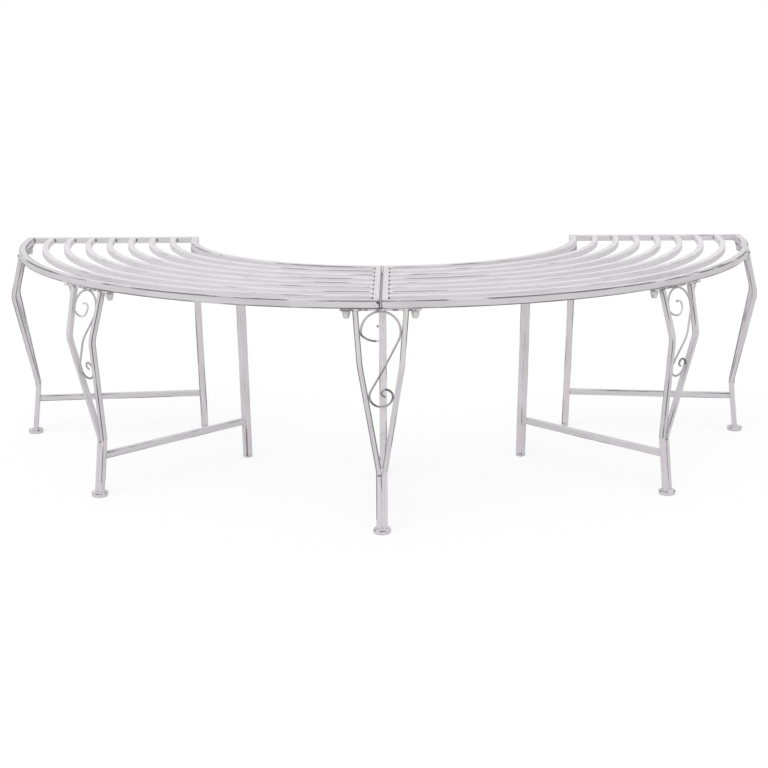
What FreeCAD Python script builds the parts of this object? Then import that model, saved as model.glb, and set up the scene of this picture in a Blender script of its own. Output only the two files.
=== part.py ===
import FreeCAD, Part
import math
import os

V = FreeCAD.Vector

# Half-round tree bench of welded square steel tube, in millimetres. Everything is drawn
# round the tree's axis, with the floor at Z = 0, the curved front towards -Y and the
# straight back, which meets the other half of a full ring, on Y = 0.

# Seat: two quarter-round sections that meet at a seam in the middle of the front
seat_height = 430.0           # floor to the tops of the tubes
outer_rim_radius = 800.0      # outer face of the outer rim
inner_rim_radius = 416.5      # inner face of the inner rim, round the trunk
rim_size = 15.0               # square tube of the rims
slat_size = 12.5              # square tube of the slats, the bars and the stretchers
slat_count = 7
tube_wall = 1.2
seam_gap = 1.6                # between the two sections

# Legs: five frames that stand radially under the rims
middle_frame_angle = 44.5     # from the front, to either side
end_frame_angle = 83.2
leg_tube_size = 10.0          # the pair of bent tubes
inner_leg_size = 15.0
top_spread = 90.0             # between the pair's centre lines, at the top plate
bulge_spread = 75.0           # and where they bulge out furthest
pair_slit = 0.5               # between the two tubes from the kink down
top_outset = 4.0              # pair's centre line outside the outer rim's, at the top
bulge_outset = 27.0           # at the bulge
kink_inset = 11.5             # inside it at the kink
foot_outset = 0.5             # outside it at the foot
bulge_drop = 93.0             # from the top plate's underside down to the bulge
kink_height = 113.0
bulge_bend_radius = 50.0
kink_bend_radius = 25.0
inner_foot_inset = 10.0       # the inner leg's foot, towards the tree from its top
stretcher_height = 80.0

# Scroll: one bent rod between the pair, an upper loop and a lower loop
rod_diameter = 4.0
lower_loop_drop = 59.5        # from the bulge down to the middle of the lower loop
upper_curl = [(8.5, 46.0), (36.0, 40.0), (17.0, 90.0), (9.7, 123.0)]   # bend radius, degrees
lower_curl = [(13.0, 90.0), (7.0, 180.0)]
fold_radius = 30.0            # where the rod crosses the bulge of the tubes

# Feet
foot_diameter = 32.0
foot_thickness = 8.5
foot_lower_round = 2.5
foot_upper_round = 1.0
leg_cap_thickness = 4.5
leg_cap_round = 1.5
leg_cap_plug = 12.0           # how far the cap reaches up inside the inner leg
plug_clearance = 0.3

# Fixings of the outer rim: welded studs, washers and domed cap nuts from below
plate_thickness = 3.0
outer_plate_length = 144.0
outer_plate_width = 20.0
outer_plate_overhang = 2.0    # outside the rim's outer face
stud_end_distance = 11.0      # from the plate's end to the stud's middle
stud_diameter = 8.0
stud_head_diameter = 12.0
stud_head_thickness = 2.0
stud_hole_clearance = 0.5
washer_diameter = 16.0
washer_thickness = 1.6
nut_across_flats = 13.0
nut_hex_height = 6.5
nut_dome_diameter = 12.5
nut_height = 14.0
nut_dome_round = 4.5
nut_bore_depth = 10.0
stud_end_gap = 1.0            # above the bottom of the nut's bore
thread_clearance = 0.1

# Fixings of the inner rim: a small plate and two pan-head screws from below
inner_plate_length = 44.0
screw_end_distance = 7.5      # from the plate's end to the screw's middle
screw_diameter = 5.0
screw_head_diameter = 9.0
screw_head_height = 3.0
screw_reach = 5.0             # past the underside of the rim

outer_rim_line = outer_rim_radius - rim_size / 2
inner_rim_line = inner_rim_radius + rim_size / 2
rim_underside = seat_height - rim_size
plate_underside = rim_underside - plate_thickness
bulge_height = plate_underside - bulge_drop
lower_loop_height = bulge_height - lower_loop_drop
pair_offset = (leg_tube_size + pair_slit) / 2
stud_spacing = outer_plate_length - 2 * stud_end_distance
screw_spacing = inner_plate_length - 2 * screw_end_distance
frame_angles = {
    "left_end": -end_frame_angle,
    "left_middle": -middle_frame_angle,
    "centre": 0.0,
    "right_middle": middle_frame_angle,
    "right_end": end_frame_angle,
}


def block(x, y, z):
    """A box from its three ranges."""
    size = V(x[1] - x[0], y[1] - y[0], z[1] - z[0])
    return Part.makeBox(size.x, size.y, size.z, V(x[0], y[0], z[0]))


def ring_tube(inner, outer, bottom, top):
    """A square tube bent to a quarter of a ring, its profile turned from the front to +X."""
    def profile(inset):
        near, far = inner + inset, outer - inset
        low, high = bottom + inset, top - inset
        corners = [V(0, -near, low), V(0, -far, low), V(0, -far, high), V(0, -near, high)]
        return Part.Face(Part.makePolygon(corners + corners[:1]))

    turn = (V(0, 0, 0), V(0, 0, 1), 90)
    return profile(0).revolve(*turn), profile(tube_wall).revolve(*turn)


def on_rim(line_radius, side):
    """The point on a rim's centre line that lies this far to the side of a frame."""
    return V(side, -math.sqrt(line_radius ** 2 - side ** 2), 0)


def turned(shape, angle):
    """A copy of a piece of the front frame, turned to another frame's place."""
    copy = shape.copy()
    copy.rotate(V(0, 0, 0), V(0, 0, 1), angle)
    return copy


def hole(point, diameter, bottom, top):
    """A vertical cylinder at a point, for a hole, a shank or a head."""
    return Part.makeCylinder(diameter / 2, top - bottom, V(point.x, point.y, bottom))


# The seat. Both rims run the full length of a section and are welded shut at their ends.
# The bars and the slats stand between them, open tubes that butt on their neighbours.
stud_points = [on_rim(outer_rim_line, side * stud_spacing / 2) for side in (-1, 1)]
screw_points = [on_rim(inner_rim_line, side * screw_spacing / 2) for side in (-1, 1)]


def rim(line_radius, points, hole_diameter):
    """The right section's rim on a centre line, drilled from below over every frame."""
    half = rim_size / 2
    solid, cavity = ring_tube(line_radius - half, line_radius + half, rim_underside, seat_height)
    reach = line_radius + rim_size
    levels = (rim_underside - 1, seat_height + 1)
    start = seam_gap / 2
    solid = solid.common(block((start, reach), (-reach, 0), levels))
    cavity = cavity.common(block((start + tube_wall, reach), (-reach, -tube_wall), levels))
    solid = solid.cut(cavity)
    for angle in frame_angles.values():
        for point in points:
            place = FreeCAD.Rotation(V(0, 0, 1), angle).multVec(point)
            if place.x > start and place.y < 0:
                drill = hole(place, hole_diameter, rim_underside - 1, rim_underside + 2 * tube_wall)
                solid = solid.cut(drill)
    return solid


def between_rims(solid):
    """A straight bar cut to fit the curves of the two rims."""
    height = 2 * rim_size
    bottom = V(0, 0, rim_underside - rim_size / 2)
    outside = Part.makeCylinder(outer_rim_radius - rim_size, height, bottom)
    return solid.common(outside).cut(Part.makeCylinder(inner_rim_radius + rim_size, height, bottom))


def bar(x, y, z, axis):
    """An open square tube along X (axis 0) or Y (axis 1), between the rims."""
    ranges = [x, y, z]
    bore = [(low + tube_wall, high - tube_wall) for low, high in ranges]
    bore[axis] = ranges[axis]
    return between_rims(block(*ranges).cut(block(*bore)))


seam_bar_face = seam_gap / 2 + slat_size
right = {
    "outer_rim": rim(outer_rim_line, stud_points, stud_diameter + stud_hole_clearance),
    "inner_rim": rim(inner_rim_line, screw_points, screw_diameter + 2 * thread_clearance),
    "end_bar": bar((0, outer_rim_radius), (-slat_size, 0),
                   (seat_height - slat_size, seat_height), 0),
    "seam_bar": bar((seam_gap / 2, seam_bar_face), (-outer_rim_radius, 0),
                    (seat_height - slat_size, seat_height), 1),
}

slat_space = outer_rim_line - inner_rim_line - rim_size - slat_count * slat_size
slat_pitch = slat_size + slat_space / (slat_count + 1)
slat_region = block((seam_bar_face, outer_rim_radius), (-outer_rim_radius, -slat_size),
                    (rim_underside - 1, seat_height + 1))
for number in range(1, slat_count + 1):
    near = inner_rim_radius + rim_size + number * slat_pitch - slat_size
    solid, cavity = ring_tube(near, near + slat_size, seat_height - slat_size, seat_height)
    right["slat_%d" % number] = solid.cut(cavity).common(slat_region)

nodes = {}
for name, piece in right.items():
    nodes["right_" + name] = piece
    nodes["left_" + name] = piece.mirror(V(0, 0, 0), V(1, 0, 0))


# The bent pair. Each tube is where two strips cross: its side view pushed across the
# frame, and its front view pushed through it.
def rounded(points, radii):
    """Straight edges through a line of points, with a tangent arc at each inner point."""
    edges = []
    start = points[0]
    for before, corner, after, radius in zip(points, points[1:], points[2:], radii):
        back = (before - corner).normalize()
        ahead = (after - corner).normalize()
        half_turn = (math.pi - back.getAngle(ahead)) / 2
        reach = radius * math.tan(half_turn)
        first, last = corner + back * reach, corner + ahead * reach
        middle = corner + (back + ahead).normalize() * (radius / math.cos(half_turn) - radius)
        edges += [Part.makeLine(start, first), Part.Arc(first, middle, last).toShape()]
        start = last
    return edges + [Part.makeLine(start, points[-1])]


def strip(points, radii, width, normal):
    """A flat strip of even width along a bent centre line, in the plane across normal."""
    def side(shift):
        moved = []
        for index, point in enumerate(points):
            lines = []
            if index > 0:
                lines.append((point - points[index - 1]).normalize())
            if index < len(points) - 1:
                lines.append((points[index + 1] - point).normalize())
            mitre = normal.cross(lines[0] + lines[-1]).normalize()
            stretch = mitre.dot(normal.cross(lines[0]))
            moved.append(point + mitre * (shift / stretch))
        bends = []
        for index, radius in enumerate(radii):
            before = points[index + 1] - points[index]
            after = points[index + 2] - points[index + 1]
            turns_left = normal.dot(before.cross(after)) > 0
            bends.append(radius - shift if turns_left else radius + shift)
        return rounded(moved, bends), moved

    left_edges, left = side(width / 2)
    right_edges, right_side = side(-width / 2)
    ends = [Part.makeLine(left[0], right_side[0]), Part.makeLine(left[-1], right_side[-1])]
    outline = Part.sortEdges(left_edges + right_edges + ends)[0]
    return Part.Face(Part.Wire(outline))


bend_radii = [bulge_bend_radius, kink_bend_radius]
levels = [plate_underside, bulge_height, kink_height, foot_thickness]
side_line = [outer_rim_line + top_outset, outer_rim_line + bulge_outset,
             outer_rim_line - kink_inset, outer_rim_line + foot_outset]
front_line = [top_spread / 2, bulge_spread / 2, pair_offset, pair_offset]


def run_past(points, distance):
    """The same line of points, with both end runs made longer."""
    first = points[0] + (points[0] - points[1]).normalize() * distance
    last = points[-1] + (points[-1] - points[-2]).normalize() * distance
    return [first] + points[1:-1] + [last]


def across(points, radii, width, breadth):
    """A strip of the side view, pushed this far across the frame."""
    solid = strip(points, radii, width, V(1, 0, 0)).extrude(V(breadth, 0, 0))
    solid.translate(V(-breadth / 2, 0, 0))
    return solid


def level_cut(solid, bottom):
    """The part of a leg between its foot and the underside of the top plate."""
    reach = 2 * outer_rim_radius
    return solid.common(block((-reach, reach), (-reach, 0), (bottom, plate_underside)))


side_view = run_past([V(0, -r, z) for r, z in zip(side_line, levels)], leg_tube_size)
front_view = run_past([V(s, 0, z) for s, z in zip(front_line, levels)], leg_tube_size)


def pair_tube(width):
    """The right tube of the front frame as a solid bar of this width."""
    through = strip(front_view, bend_radii, width, V(0, -1, 0))
    through = through.extrude(V(0, -2 * outer_rim_radius, 0))
    return level_cut(across(side_view, bend_radii, width, 2 * top_spread).common(through),
                     foot_thickness)


right_tube = pair_tube(leg_tube_size).cut(pair_tube(leg_tube_size - 2 * tube_wall))
left_tube = right_tube.mirror(V(0, 0, 0), V(1, 0, 0))

# The inner leg is straight and leans a little, and the stretcher joins it to the pair.
leg_view = run_past([V(0, -inner_rim_line, plate_underside),
                     V(0, inner_foot_inset - inner_rim_line, leg_cap_thickness)], inner_leg_size)
leg_bore = inner_leg_size - 2 * tube_wall
inner_leg = level_cut(across(leg_view, [], inner_leg_size, inner_leg_size), leg_cap_thickness)
inner_leg = inner_leg.cut(across(leg_view, [], leg_bore, leg_bore))

half = slat_size / 2
bore_half = half - tube_wall
stretcher_run = (-side_line[2], -inner_rim_line)
stretcher = block((-half, half), stretcher_run, (stretcher_height - half, stretcher_height + half))
stretcher = stretcher.cut(block((-bore_half, bore_half), stretcher_run,
                                (stretcher_height - bore_half, stretcher_height + bore_half)))
for view, radii, width in ((side_view, bend_radii, leg_tube_size), (leg_view, [], inner_leg_size)):
    stretcher = stretcher.cut(across(view, radii, width, 2 * inner_leg_size))

# The scroll is drawn flat, as distances from the frame's middle and from the bulge, and
# folded at the bulge like the pair. Its upper loop touches the plate and both tubes, its
# lower loop touches both tubes, and a straight run crosses between them.
upper_lean = math.atan2(side_line[1] - side_line[0], levels[0] - levels[1])
lower_lean = math.atan2(side_line[1] - side_line[2], levels[1] - levels[2])


def folded(point):
    """A point of the flat drawing in its place between the tubes."""
    lean = upper_lean if point.y > 0 else lower_lean
    radius = side_line[1] - abs(point.y) * math.sin(lean)
    return V(point.x, -radius, bulge_height + point.y * math.cos(lean))


def clear_width(top, bottom, lean):
    """The rod's clear half width between the tubes at the bulge, and its growth upwards."""
    drop = levels[top] - levels[bottom]
    spread = front_line[top] - front_line[bottom]
    slope = math.atan2(spread, drop / math.cos(lean))
    face = bulge_spread / 2 - leg_tube_size / 2 / math.cos(math.atan2(spread, drop))
    return face * math.cos(slope) - rod_diameter / 2, math.sin(slope)


width_at_bulge, upper_growth = clear_width(0, 1, upper_lean)
top_reach = (plate_underside - bulge_height - rod_diameter / 2) / math.cos(upper_lean)
upper_centre = V(0, (top_reach - width_at_bulge) / (1 + upper_growth), 0)
upper_loop = width_at_bulge + upper_growth * upper_centre.y

width_at_bulge, lower_growth = clear_width(1, 2, lower_lean)
lower_centre = V(0, (lower_loop_height - bulge_height) / math.cos(lower_lean), 0)
lower_loop = width_at_bulge + lower_growth * lower_centre.y

# The run touches the upper loop on its right and the lower loop on its left.
tilt = math.asin((upper_loop + lower_loop) / (upper_centre.y - lower_centre.y))
run_side = V(math.cos(tilt), -math.sin(tilt), 0)
run_top = upper_centre + run_side * upper_loop
run_bottom = lower_centre - run_side * lower_loop
crossing = run_bottom + (run_top - run_bottom) * (run_bottom.y / (run_bottom.y - run_top.y))


def arcs(start, heading, turns):
    """Tangent arcs that each turn left by an angle, with the point and heading they end at."""
    edges = []
    for radius, turn in turns:
        centre = start + V(-math.sin(heading), math.cos(heading), 0) * radius
        half_turn = FreeCAD.Rotation(V(0, 0, 1), turn / 2)
        middle = centre + half_turn.multVec(start - centre)
        end = centre + half_turn.multVec(middle - centre)
        edges.append(Part.Arc(folded(start), folded(middle), folded(end)).toShape())
        start = end
        heading += math.radians(turn)
    return edges, start, heading


upper_turn = 180 + math.degrees(tilt + math.asin(upper_growth))
upper_edges, rod_end, rod_heading = arcs(run_top, math.pi / 2 - tilt,
                                         [(upper_loop, upper_turn)] + upper_curl)
lower_edges = arcs(run_bottom, 3 * math.pi / 2 - tilt,
                   [(lower_loop, 180 + math.degrees(tilt))] + lower_curl)[0]
run_edges = rounded([folded(run_top), folded(crossing), folded(run_bottom)], [fold_radius])
ahead = rod_end + V(math.cos(rod_heading), math.sin(rod_heading), 0)
rod_profile = Part.makeCircle(rod_diameter / 2, folded(rod_end), folded(ahead) - folded(rod_end))
scroll_path = Part.Wire(upper_edges[::-1] + run_edges + lower_edges)
scroll = scroll_path.makePipeShell([Part.Wire(rod_profile)], True, False)

# The outer plate, flush under the outer rim, and what clamps it there at each stud
plate_levels = (plate_underside, rim_underside)
plate_edge = -outer_rim_radius - outer_plate_overhang
outer_plate = block((-outer_plate_length / 2, outer_plate_length / 2),
                    (plate_edge, plate_edge + outer_plate_width), plate_levels)
stud_hole = stud_diameter + stud_hole_clearance
nut_top = plate_underside - washer_thickness
nut_bottom = nut_top - nut_height
stud_bottom = nut_top - nut_bore_depth + stud_end_gap
head_bottom = rim_underside + tube_wall
studs, washers, cap_nuts = [], [], []
for point in stud_points:
    outer_plate = outer_plate.cut(hole(point, stud_hole, *plate_levels))
    head = hole(point, stud_head_diameter, head_bottom, head_bottom + stud_head_thickness)
    studs.append(head.fuse(hole(point, stud_diameter, stud_bottom, head_bottom)))
    washer = hole(point, washer_diameter, nut_top, plate_underside)
    washers.append(washer.cut(hole(point, stud_hole, nut_top, plate_underside)))

    corner = nut_across_flats / math.sqrt(3)
    outline = [V(point.x + corner * math.cos(math.radians(60 * k)),
                 point.y + corner * math.sin(math.radians(60 * k)),
                 nut_top - nut_hex_height) for k in range(7)]
    hexagon = Part.Face(Part.makePolygon(outline)).extrude(V(0, 0, nut_hex_height))
    dome = hole(point, nut_dome_diameter, nut_bottom, nut_top - nut_hex_height)
    lower_edge = [edge for edge in dome.Edges if abs(edge.BoundBox.ZMax - nut_bottom) < 0.01]
    dome = dome.makeFillet(nut_dome_round, lower_edge)
    bore = hole(point, stud_diameter + 2 * thread_clearance, nut_top - nut_bore_depth, nut_top)
    cap_nuts.append(hexagon.fuse(dome).cut(bore))

# The inner plate on top of the inner leg, and its screws
inner_plate = block((-inner_plate_length / 2, inner_plate_length / 2),
                    (-inner_rim_line - rim_size / 2, -inner_rim_line + rim_size / 2), plate_levels)
inner_screws = []
for point in screw_points:
    inner_plate = inner_plate.cut(hole(point, screw_diameter + 2 * thread_clearance, *plate_levels))
    head = hole(point, screw_head_diameter, plate_underside - screw_head_height, plate_underside)
    shank = hole(point, screw_diameter, plate_underside, rim_underside + screw_reach)
    inner_screws.append(head.fuse(shank))

# What the legs stand on: a thick round disc under each pair, and a plastic cap with a
# plug in the end of each inner leg
foot_disc = Part.makeCylinder(foot_diameter / 2, foot_thickness, V(0, -side_line[3], 0))
for radius, height in ((foot_lower_round, 0), (foot_upper_round, foot_thickness)):
    rims = [edge for edge in foot_disc.Edges
            if abs(edge.BoundBox.ZMin - height) + abs(edge.BoundBox.ZMax - height) < 0.01]
    foot_disc = foot_disc.makeFillet(radius, rims)

cap_line = inner_foot_inset - inner_rim_line
half = inner_leg_size / 2
leg_cap = block((-half, half), (cap_line - half, cap_line + half), (0, leg_cap_thickness))
lower_edges = [edge for edge in leg_cap.Edges if edge.BoundBox.ZMax < leg_cap_thickness / 2]
leg_cap = leg_cap.makeFillet(leg_cap_round, lower_edges)
half = leg_bore / 2 - plug_clearance
leg_cap = leg_cap.fuse(block((-half, half), (cap_line - half, cap_line + half),
                             (leg_cap_thickness, leg_cap_thickness + leg_cap_plug)))

# The front frame's pieces are repeated at every frame's angle. Small pieces that are all
# alike are kept together, each still a solid of its own.
frame_pieces = {
    "left_tube": left_tube,
    "right_tube": right_tube,
    "scroll": scroll,
    "outer_plate": outer_plate,
    "inner_leg": inner_leg,
    "stretcher": stretcher,
}
repeated = {
    "inner_plates": [inner_plate],
    "studs": studs,
    "washers": washers,
    "cap_nuts": cap_nuts,
    "inner_screws": inner_screws,
    "foot_discs": [foot_disc],
    "leg_caps": [leg_cap],
}
for frame, angle in frame_angles.items():
    for name, piece in frame_pieces.items():
        nodes[frame + "_" + name] = turned(piece, angle)
for name, pieces in repeated.items():
    nodes[name] = Part.makeCompound([turned(piece, angle) for angle in frame_angles.values()
                                     for piece in pieces])

# The bench stands with the middle of its outer box over the origin.
bench = Part.makeCompound(list(nodes.values()))
box = bench.optimalBoundingBox(False)
shift = V(-box.Center.x, -box.Center.y, -box.ZMin)
os.makedirs("parts", exist_ok=True)
for name, piece in nodes.items():
    piece.translate(shift)
    piece.exportStep("parts/%s.step" % name)
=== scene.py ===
import math
import bmesh
import bpy
from mathutils import Matrix, Vector, noise


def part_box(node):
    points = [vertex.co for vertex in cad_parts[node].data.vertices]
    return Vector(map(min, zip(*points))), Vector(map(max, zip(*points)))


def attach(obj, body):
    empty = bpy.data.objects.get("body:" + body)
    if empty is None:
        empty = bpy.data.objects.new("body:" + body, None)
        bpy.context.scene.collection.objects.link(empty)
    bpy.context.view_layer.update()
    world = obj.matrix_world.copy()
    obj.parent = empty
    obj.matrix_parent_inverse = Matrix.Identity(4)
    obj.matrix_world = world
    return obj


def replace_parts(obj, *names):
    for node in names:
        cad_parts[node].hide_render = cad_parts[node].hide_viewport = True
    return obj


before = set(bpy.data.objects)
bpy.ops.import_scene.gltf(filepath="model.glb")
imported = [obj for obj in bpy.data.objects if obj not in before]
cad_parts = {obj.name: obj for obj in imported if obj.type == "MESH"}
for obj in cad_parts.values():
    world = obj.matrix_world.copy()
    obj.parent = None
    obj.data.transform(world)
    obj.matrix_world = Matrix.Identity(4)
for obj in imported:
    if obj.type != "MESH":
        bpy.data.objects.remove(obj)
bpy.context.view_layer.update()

# Bent pairs: each front leg is two 10 mm square steel tubes, bent cold in a jig and welded
# side by side from the kink down. The paint is antique white, rubbed through to grey along
# the tubes' edges. Each is drawn at the front and turned to its place. Sizes are in metres.
tree = Vector((0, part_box("right_outer_rim")[1].y, 0))
plate_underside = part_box("centre_outer_plate")[0].z
plate_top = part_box("centre_outer_plate")[1].z
foot_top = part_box("foot_discs")[1].z
rim_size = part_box("right_outer_rim")[1].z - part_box("right_outer_rim")[0].z
outer_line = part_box("right_outer_rim")[1].x - rim_size / 2
inner_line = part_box("right_inner_rim")[1].x - rim_size / 2
pair_size = 0.010
pair_corner = 0.0012
pair_rows = 80
corner_segments = 3
kink_level = 0.113
bulge_level = 0.319
# The pair's centre lines at the foot, the kink, the bulge and the top plate
pair_levels = [foot_top, kink_level, bulge_level, plate_underside]
pair_radii = [outer_line + outset for outset in (0.0005, -0.0115, 0.0270, 0.0040)]
pair_sides = [0.00525, 0.00525, 0.0375, 0.045]
pair_bends = [0.025, 0.050]
crisp_angle = math.radians(50)
antique_white = (0.73, 0.70, 0.735)
antique_shade = (0.58, 0.549, 0.58)
water_stain = (0.65, 0.65, 0.62)
rubbed_grey = (0.13, 0.125, 0.13)


def facing(name):
    """How far round the tree, from the front, a frame's top plate stands."""
    low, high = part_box(name + "_outer_plate")
    middle = (low + high) / 2 - tree
    return math.atan2(middle.x, -middle.y)


frames = {name: facing(name)
          for name in ("left_end", "left_middle", "centre", "right_middle", "right_end")}


def at_frame(name):
    """The place of a frame that is drawn at the front, round the tree's axis."""
    return Matrix.Translation(tree) @ Matrix.Rotation(frames[name], 4, "Z")


def all_of(shape):
    """Every point, edge and face of a shape."""
    return shape.verts[:] + shape.edges[:] + shape.faces[:]


def points_of(parts):
    """The points among some parts of a shape."""
    return [part for part in parts if isinstance(part, bmesh.types.BMVert)]


def rounded_off(shape, parts, size, segments, affect="EDGES"):
    """Rounds edges, or corners, and gives the points that this makes."""
    return bmesh.ops.bevel(shape, geom=parts, offset=size, offset_type="OFFSET", affect=affect,
                           segments=segments, profile=0.5, material=-1)["verts"]


def rounded_square(shape, size, corner, place):
    """A filled square profile with rounded corners. The layer rub is 1 on the corners,
    where the paint wears through, and 0 on the flats."""
    rub = shape.verts.layers.float.new("rub")
    square = bmesh.ops.create_circle(shape, cap_ends=True, segments=4, radius=size / math.sqrt(2),
                                     matrix=Matrix.Rotation(math.pi / 4, 4, "Z"))
    rounded_off(shape, square["verts"], corner, corner_segments, "VERTICES")
    for point in shape.verts:
        point[rub] = 1.0
    flats = [edge for edge in shape.edges if edge.calc_length() > size / 2]
    made = bmesh.ops.subdivide_edges(shape, edges=flats, cuts=4)
    for point in points_of(made["geom_inner"]):
        point[rub] = 0.0
    bmesh.ops.transform(shape, matrix=place, verts=shape.verts)


def straight_tube(size, corner, bottom, top, rows):
    """A closed upright bar in rows that it can be bent by. The layer straight keeps where
    each point lay before any bend, so that the finish follows the tube."""
    shape = bmesh.new()
    rounded_square(shape, size, corner, Matrix.Translation((0, 0, bottom)))
    bmesh.ops.spin(shape, geom=all_of(shape), cent=(0, 0, 0), axis=(0, 0, 1),
                   dvec=(0, 0, (top - bottom) / rows), angle=0, steps=rows, use_duplicate=False)
    straight = shape.verts.layers.float_vector.new("straight")
    for point in shape.verts:
        point[straight] = point.co
    return shape


def shift_pattern(shape, distance):
    """Takes the finish from further along, so that no two tubes are rubbed alike."""
    straight = shape.verts.layers.float_vector["straight"]
    for point in shape.verts:
        point[straight] = point[straight] + Vector((0, 0, distance))


def rounded_line(levels, offsets, radii):
    """The offset and the slope of a bent centre line at a height. Its runs are straight
    from level to level, and each corner between them is rounded."""
    slopes = [(far - near) / (top - low)
              for near, far, low, top in zip(offsets, offsets[1:], levels, levels[1:])]

    def at(height):
        """The line's offset and slope at one height."""
        offset, slope = offsets[0] + slopes[0] * (height - levels[0]), slopes[0]
        for corner, before, after, radius in zip(levels[1:], slopes, slopes[1:], radii):
            reach = radius * abs(math.atan(after) - math.atan(before)) / 2
            share = min(max((height - corner + reach) / (2 * reach), 0), 1)
            offset += (after - before) * (reach * share ** 2 + max(height - corner - reach, 0))
            slope += (after - before) * share
        return offset, slope

    return at


def bend_upright(shape, side_at, radius_at):
    """Bends an upright bar to a front view and a side view, at even width in both."""
    for point in shape.verts:
        side, side_slope = side_at(point.co.z)
        radius, radius_slope = radius_at(point.co.z)
        point.co.x = side + point.co.x * math.hypot(1, side_slope)
        point.co.y = -radius + point.co.y * math.hypot(1, radius_slope)


def new_object(name, data):
    """An object of a mesh, a camera or a lamp, in the scene."""
    made = bpy.data.objects.new(name, data)
    bpy.context.scene.collection.objects.link(made)
    return made


def mesh_of(name, shape):
    """A shape as a mesh."""
    mesh = bpy.data.meshes.new(name)
    shape.to_mesh(mesh)
    return mesh


def finish_piece(name, shape, material):
    """The finished piece: smooth sides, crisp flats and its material."""
    shape.normal_update()
    bmesh.ops.recalc_face_normals(shape, faces=shape.faces)
    for face in shape.faces:
        face.smooth = True
    for edge in shape.edges:
        edge.smooth = edge.calc_face_angle(0) < crisp_angle
    piece = new_object(name, mesh_of(name, shape))
    piece.data.materials.append(material)
    flats = piece.modifiers.new("crisp flats", "WEIGHTED_NORMAL")
    flats.keep_sharp = True
    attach(piece, "root")
    return piece


def in_place_of(node, shape, material):
    """A finished piece that stands for a node of the frame."""
    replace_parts(finish_piece(node + "_finished", shape, material), node)


def feed(net, node, inputs):
    """Gives a node's inputs their values, or links them to what another node puts out."""
    for socket, value in inputs.items():
        if isinstance(value, bpy.types.NodeSocket):
            net.links.new(value, node.inputs[socket])
        else:
            node.inputs[socket].default_value = value


def added(net, kind, inputs, **settings):
    """A new node in a node tree, with its settings made and its inputs fed."""
    node = net.nodes.new(kind)
    for setting, value in settings.items():
        setattr(node, setting, value)
    feed(net, node, inputs)
    return node


def mixed(net, share, first, second):
    """Two colours mixed, from all of the first at a share of 0 to all of the second at 1."""
    return added(net, "ShaderNodeMix", {"Factor": share, "A": first, "B": second},
                 data_type="RGBA").outputs["Result"]


def worn_paint_group():
    """Brushed antique paint: faint streaks and stains, and grey where it is rubbed. Wear
    is how much of the rubbed places is bare, and Stained adds water stains."""
    net = bpy.data.node_groups.new("worn_paint", "ShaderNodeTree")
    for name, kind in (("Place", "Vector"), ("Rub", "Float"), ("Wear", "Float"),
                       ("Stained", "Float"), ("Paint", "Color"), ("Shade", "Color"),
                       ("Stain", "Color"), ("Bare", "Color")):
        net.interface.new_socket(name, in_out="INPUT", socket_type="NodeSocket" + kind)
    for name, kind in (("Color", "Color"), ("Roughness", "Float"), ("Height", "Float")):
        net.interface.new_socket(name, in_out="OUTPUT", socket_type="NodeSocket" + kind)
    given = net.nodes.new("NodeGroupInput")
    paint, shade = given.outputs["Paint"], given.outputs["Shade"]
    stain, bare = given.outputs["Stain"], given.outputs["Bare"]

    def cloud(along, scale, detail):
        """Soft spots that are drawn out along the piece."""
        place = added(net, "ShaderNodeVectorMath", {0: given.outputs["Place"], 1: (1, 1, along)},
                      operation="MULTIPLY")
        return added(net, "ShaderNodeTexNoise", {"Vector": place.outputs[0], "Scale": scale,
                                                 "Detail": detail}).outputs["Fac"]

    def between(value, low, high, out_low=0.0, out_high=1.0):
        """Where a value lies from low to high, given from out_low to out_high."""
        return added(net, "ShaderNodeMapRange", {"Value": value, "From Min": low,
                                                 "From Max": high, "To Min": out_low,
                                                 "To Max": out_high}).outputs["Result"]

    def combined(operation, first, second):
        """Two values put together."""
        return added(net, "ShaderNodeMath", {0: first, 1: second}, operation=operation).outputs[0]

    streaks = between(cloud(along=0.03, scale=420, detail=3), 0.35, 0.75)
    stains = between(cloud(along=0.5, scale=22, detail=2), 0.45, 0.75)
    scratches = between(cloud(along=0.02, scale=700, detail=2), 0.62, 0.72)
    patches = cloud(along=0.10, scale=110, detail=4)
    rubbed = combined("MULTIPLY", given.outputs["Rub"], given.outputs["Wear"])
    edges = between(combined("MULTIPLY", patches, rubbed), 0.42, 0.52)
    worn = combined("MAXIMUM", combined("MULTIPLY", edges, 0.9),
                    combined("MULTIPLY", scratches, 0.30))
    wet = combined("MULTIPLY", between(patches, 0.35, 0.60), given.outputs["Stained"])
    stained = combined("MAXIMUM", combined("MULTIPLY", stains, 0.5), wet)
    shaded = mixed(net, combined("MULTIPLY", streaks, 0.45), paint, shade)
    color = mixed(net, worn, mixed(net, stained, shaded, stain), bare)
    height = combined("SUBTRACT", combined("MULTIPLY", streaks, 0.4), worn)
    added(net, "NodeGroupOutput", {"Color": color, "Roughness": between(streaks, 0, 1, 0.42, 0.6),
                                   "Height": height})
    return net


worn_paint = worn_paint_group()


def new_material(name):
    """A new material, with its node tree and its shader."""
    material = bpy.data.materials.new(name)
    material.use_nodes = True
    return material, material.node_tree, material.node_tree.nodes["Principled BSDF"]


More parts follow.
